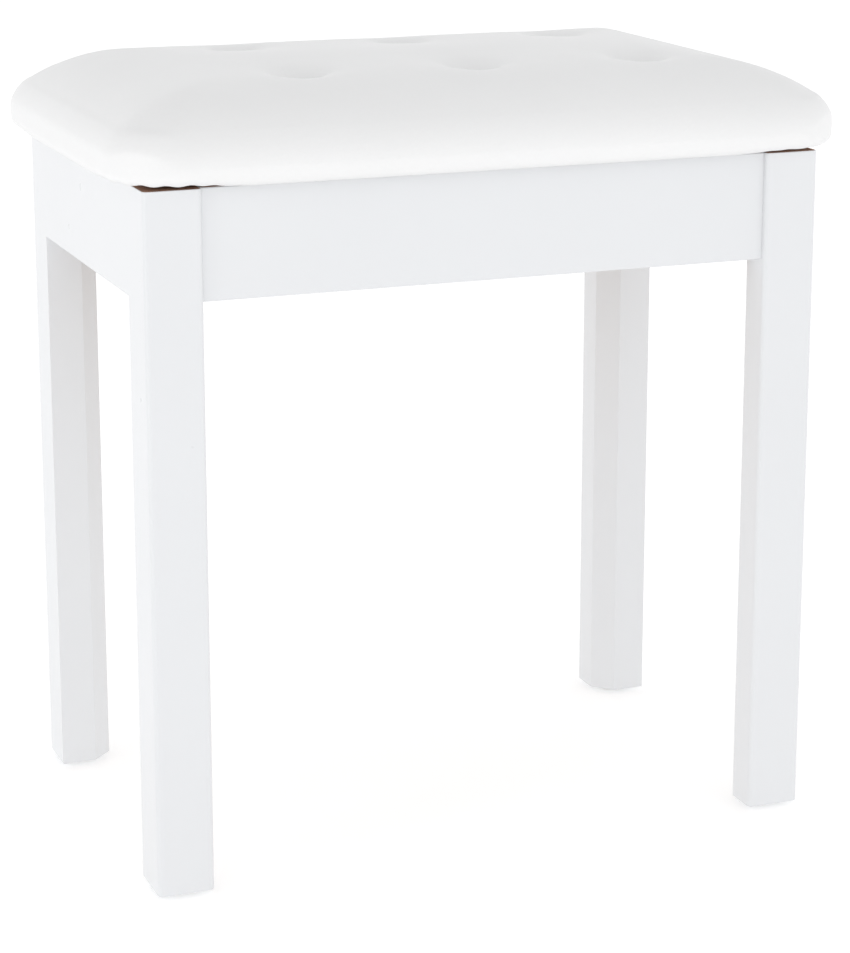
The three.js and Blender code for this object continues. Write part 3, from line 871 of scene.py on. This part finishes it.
lining_size = lining_high - lining_low
lining_level = (lining_low.z + lining_high.z) / 2 - 0.0001
shape = bmesh.new()
bmesh.ops.create_grid(
    shape,
    x_segments=round(lining_size.x / LINING_STEP),
    y_segments=round(lining_size.y / LINING_STEP),
    size=0.5,
)
bmesh.ops.scale(shape, vec=(lining_size.x, lining_size.y, 1), verts=shape.verts)
for vert in shape.verts:
    x, y = vert.co.x, vert.co.y
    corner_x = abs(x) - (lining_high.x - LINING_CORNER)
    corner_y = abs(y) - (lining_high.y - LINING_CORNER)
    if corner_x > 0 and corner_y > 0:
        pull_in = max(corner_x, corner_y) / math.hypot(corner_x, corner_y)
        x = math.copysign(lining_high.x - LINING_CORNER + corner_x * pull_in, x)
        y = math.copysign(lining_high.y - LINING_CORNER + corner_y * pull_in, y)
    ripple = noise.noise(Vector((x * 14, y * 60, 1))) + noise.noise(Vector((x * 60, y * 14, 5)))
    vert.co = (x, y, lining_level + LINING_WAVE * ripple)
lining = piece_from(
    shape, "dust_cloth", "lid", [black_cloth], ["underside_lining"], 80
)
thick = lining.modifiers.new("cloth_thickness", "SOLIDIFY")
thick.thickness = LINING_THICKNESS
thick.offset = 0

hardware = ["left_hinge_moving_leaf", "right_hinge_moving_leaf"]
hardware += ["left_stay_lid_bracket", "right_stay_lid_bracket"]


def clear_of_hardware(x, y):
    for node in hardware:
        low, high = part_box(node)
        if low.x - 0.008 < x < high.x + 0.008 and low.y - 0.008 < y < high.y + 0.008:
            return False
    return True


staples = []
row_x = lining_high.x - STAPLE_INSET
row_y = lining_high.y - STAPLE_INSET
places = []
count = math.floor((row_x - LINING_CORNER) / STAPLE_PITCH)
for step in range(-count, count + 1):
    places += [(step * STAPLE_PITCH, row_y, 0), (step * STAPLE_PITCH, -row_y, 0)]
count = math.floor((row_y - LINING_CORNER) / STAPLE_PITCH)
for step in range(-count, count + 1):
    places += [(row_x, step * STAPLE_PITCH, 90), (-row_x, step * STAPLE_PITCH, 90)]
for x, y, turn in places:
    if not clear_of_hardware(x, y):
        continue
    half = Vector((STAPLE_LENGTH, STAPLE_WIRE, STAPLE_WIRE / 2)) / 2
    staple = eased(block(-half, half), 0.0002)
    slant = math.radians(turn + 9 * noise.noise(Vector((x * 90, y * 90, 3))))
    bmesh.ops.rotate(staple, cent=(0, 0, 0), matrix=Matrix.Rotation(slant, 3, "Z"), verts=staple.verts)
    bmesh.ops.translate(staple, vec=(x, y, lining_level - half.z - LINING_WAVE), verts=staple.verts)
    staples.append(staple)
piece_from(together(staples), "lining_staples", "lid", [zinc])


# --- Butt hinges --------------------------------------------------------------------------
# Two nickel-plated steel hinges at the back. One leaf is screwed to the back apron and the
# other to the lid, their five knuckles take turns, and a headed pin runs through them.
LEAF_ROUND = 0.00025
PIN_HEAD = 0.0019
PIN_HEAD_HEIGHT = 0.0009
PIN_RADIUS = 0.0015
PIN_DOME = 0.0006
SCREW_SINK = 0.0012
CROSS_WIDTH = 0.0008
CROSS_SPAN = 0.0036
CROSS_DEPTH = 0.0009

nickel, shade = new_finish("brushed_nickel", {})
brushing = shade.grain(2400, 2, stretch=(0.06, 1, 1))
fingers = shade.grain(120, 3)
coat(
    nickel,
    Base_Color=brushing.mixed((0.6, 0.585, 0.56), (0.76, 0.745, 0.72)),
    Roughness=0.22 + 0.14 * brushing + 0.1 * fingers,
    Metallic=1 - 0.03 * fingers,
    Normal=relief(shade, brushing, 0.000015),
)


def cross_screw(head_radius, sink, length):
    """A countersunk screw along +Z from its head's face, with a cross recess."""
    shank = 0.53 * head_radius
    profile = [(0, -0.00015), (0.7 * head_radius, -0.0001), (head_radius, 0.0001)]
    profile += [(shank, sink), (shank, length - 0.002), (0, length)]
    slots = []
    for turn in (0, math.pi / 2):
        slot = bmesh.new()
        bmesh.ops.create_cube(slot, size=1)
        bmesh.ops.scale(slot, vec=(CROSS_SPAN, CROSS_WIDTH, 2 * CROSS_DEPTH), verts=slot.verts)
        bmesh.ops.rotate(slot, cent=(0, 0, 0), matrix=Matrix.Rotation(turn, 3, "Z"), verts=slot.verts)
        slots.append(slot)
    return carved(turned(profile, 28), *slots)


for side in ("left", "right"):
    for leaf, body in (("fixed", "frame"), ("moving", "lid")):
        node = f"{side}_hinge_{leaf}_leaf"
        shape = eased(merged_copy(node), LEAF_ROUND)
        piece_from(shape, f"{side}_hinge_{leaf}_plate", body, [nickel], [node])
    node = f"{side}_hinge_pin"
    low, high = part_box(node)
    middle = (low + high) / 2
    half_length = (high.x - low.x) / 2
    under_head = half_length - PIN_HEAD_HEIGHT
    flat = PIN_HEAD - PIN_DOME
    profile = [(0, -half_length), (flat, -half_length)]
    profile += rim(flat, PIN_DOME - half_length, PIN_DOME, -90, 0)[1:]
    profile += [(PIN_HEAD, -under_head), (PIN_RADIUS, -under_head)]
    profile += [(PIN_RADIUS, under_head), (PIN_HEAD, under_head)]
    profile += rim(flat, half_length - PIN_DOME, PIN_DOME, 0, 90)
    profile += [(0, half_length)]
    shape = set_at(turned(profile, 28), middle, (1, 0, 0))
    piece_from(shape, f"{side}_headed_pin", "frame", [nickel], [node])
    for number in (1, 2):
        for target, body, way in (("apron", "frame", (0, -1, 0)), ("lid", "lid", (0, 0, 1))):
            node = f"{side}_hinge_{target}_screw_{number}"
            head = end_of(node, -Vector(way))
            length = (end_of(node, Vector(way)) - head).length
            low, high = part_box(node)
            shape = cross_screw((high.x - low.x) / 2, SCREW_SINK, length)
            turn = Matrix.Rotation(0.6 * number + head.x * 40, 3, "Z")
            bmesh.ops.rotate(shape, cent=(0, 0, 0), matrix=turn, verts=shape.verts)
            set_at(shape, head, way)
            piece_from(shape, f"{side}_{target}_cross_screw_{number}", body, [nickel], [node])


# --- Lid stays ----------------------------------------------------------------------------
# A folding stay at each end holds the open lid: a bracket on the side apron, two flat arms
# riveted together, and a bracket under the lid. All of it is zinc-plated steel.
STAY_EASE = 0.0003
RIVET_RADIUS = 0.002
RIVET_HEAD = 0.0035
RIVET_DOME = 0.001


def flat_bar(start, end, x_low, x_high, width):
    """A flat bar in a plane of constant x, with round ends about two pivots."""
    run = Vector((0, end.y - start.y, end.z - start.z))
    half = width / 2
    shape = block(Vector((-half, -half, x_low)), Vector((run.length + half, half, x_high)))
    bevelled(shape, edges_along(shape, 2), half - 1e-5, 10)
    eased(shape, STAY_EASE)
    across = Vector((1, 0, 0))
    along = run.normalized()
    side = across.cross(along)
    basis = Matrix((along, side, across)).transposed().to_4x4()
    basis.translation = (0, start.y, start.z)
    bmesh.ops.transform(shape, matrix=basis, verts=shape.verts)
    return shape


def rivet(place, foot, head, top):
    """A domed rivet along x: its shank from foot to head, and its dome on to top."""
    way = math.copysign(1, top - foot)
    height = abs(top - head)
    shank = abs(head - foot)
    profile = [(0, 0), (RIVET_RADIUS, 0), (RIVET_RADIUS, shank), (RIVET_HEAD, shank)]
    for step in range(1, 6):
        angle = math.radians(18 * step)
        profile.append((RIVET_HEAD * math.cos(angle), shank + height * math.sin(angle)))
    profile[-1] = (0, abs(top - foot))
    return set_at(turned(profile, 28), (foot, place.y, place.z), (way, 0, 0))


BRACKET_THICKNESS = 0.0015
PLATE_CORNER = 0.0025
BRACKET_SCREW = (0.0026, 0.0011, 0.011)
TAB_CLEARANCE = 0.0003

pivots = {joint["name"]: Vector(joint["pos_m"]) for joint in frame["joints"]}

for side, sign in (("left", -1), ("right", 1)):
    boxes = {}
    for part in ("frame_bracket", "lower_arm", "upper_arm", "lid_bracket"):
        low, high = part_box(f"{side}_stay_{part}")
        boxes[part] = low, high, min(abs(low.x), abs(high.x)), max(abs(low.x), abs(high.x))
    foot = pivots[f"{side}_stay_foot"]
    elbow = pivots[f"{side}_stay_elbow"]
    low, high, upper_near, upper_far = boxes["upper_arm"]
    thickness = upper_far - upper_near
    width = 2 * (elbow.z - low.z)

    tab_low, tab_high, flange_near, lid_rivet_top = boxes["lid_bracket"]
    tab_width = (tab_high.y - tab_low.y) / 1.5
    lid_pivot = Vector((0, (tab_low.y + tab_high.y) / 2, tab_low.z + tab_width / 2))
    shape = flat_bar(elbow, lid_pivot, *sorted((sign * upper_near, sign * upper_far)), width)
    piece_from(
        shape, f"{side}_upper_bar", f"{side}_stay_upper", [zinc], [f"{side}_stay_upper_arm"]
    )

    low, high, elbow_rivet_top, lower_far = boxes["lower_arm"]
    lower_near = lower_far - thickness
    bar = flat_bar(foot, elbow, *sorted((sign * lower_near, sign * lower_far)), width)
    elbow_rivet = rivet(
        elbow,
        sign * (lower_far - thickness / 2),
        sign * (elbow_rivet_top + RIVET_DOME),
        sign * elbow_rivet_top,
    )
    shape = together([bar, elbow_rivet])
    piece_from(
        shape, f"{side}_lower_bar", f"{side}_stay_lower", [zinc], [f"{side}_stay_lower_arm"]
    )

    low, high, foot_rivet_top, plate_far = boxes["frame_bracket"]
    plate_near = plate_far - BRACKET_THICKNESS
    near, far = sorted((sign * plate_near, sign * plate_far))
    plate = block(Vector((near, low.y, low.z)), Vector((far, high.y, high.z)))
    bevelled(plate, edges_along(plate, 0), PLATE_CORNER, 6)
    eased(plate, STAY_EASE)
    foot_rivet = rivet(
        foot,
        sign * (plate_far - BRACKET_THICKNESS / 2),
        sign * (foot_rivet_top + RIVET_DOME),
        sign * foot_rivet_top,
    )
    shape = together([plate, foot_rivet])
    piece_from(
        shape, f"{side}_apron_bracket", "frame", [zinc], [f"{side}_stay_frame_bracket"]
    )
    for number, height in enumerate((high.z - 0.006, high.z - 0.018), 1):
        shape = set_at(
            cross_screw(*BRACKET_SCREW), (sign * plate_near, foot.y, height), (sign, 0, 0)
        )
        piece_from(shape, f"{side}_apron_bracket_screw_{number}", "frame", [zinc])

    tab_far = upper_near - TAB_CLEARANCE
    tab_near = tab_far - thickness
    near, far = sorted((sign * tab_near, sign * tab_far))
    half = tab_width / 2
    tab = block(
        Vector((near, lid_pivot.y - half, tab_low.z)), Vector((far, lid_pivot.y + half, tab_high.z))
    )
    bevelled(tab, edges_along(tab, 0, lambda m: m.z < lid_pivot.z), half - 1e-5, 10)
    eased(tab, STAY_EASE)
    near, far = sorted((sign * flange_near, sign * tab_far))
    flange = block(
        Vector((near, tab_low.y, tab_high.z - thickness)), Vector((far, tab_high.y, tab_high.z))
    )
    bevelled(flange, edges_along(flange, 2), PLATE_CORNER, 6)
    eased(flange, STAY_EASE)
    lid_rivet = rivet(
        lid_pivot,
        sign * (tab_near + thickness / 2),
        sign * (lid_rivet_top - RIVET_DOME),
        sign * lid_rivet_top,
    )
    shape = together([tab, flange, lid_rivet])
    piece_from(
        shape, f"{side}_lid_plate", "lid", [zinc], [f"{side}_stay_lid_bracket"]
    )
    for number, beside in enumerate((-0.007, 0.007), 1):
        place = (sign * (flange_near + tab_near) / 2, lid_pivot.y + beside, tab_high.z - thickness)
        shape = set_at(cross_screw(*BRACKET_SCREW), place, (0, 0, 1))
        piece_from(shape, f"{side}_lid_plate_screw_{number}", "lid", [zinc])
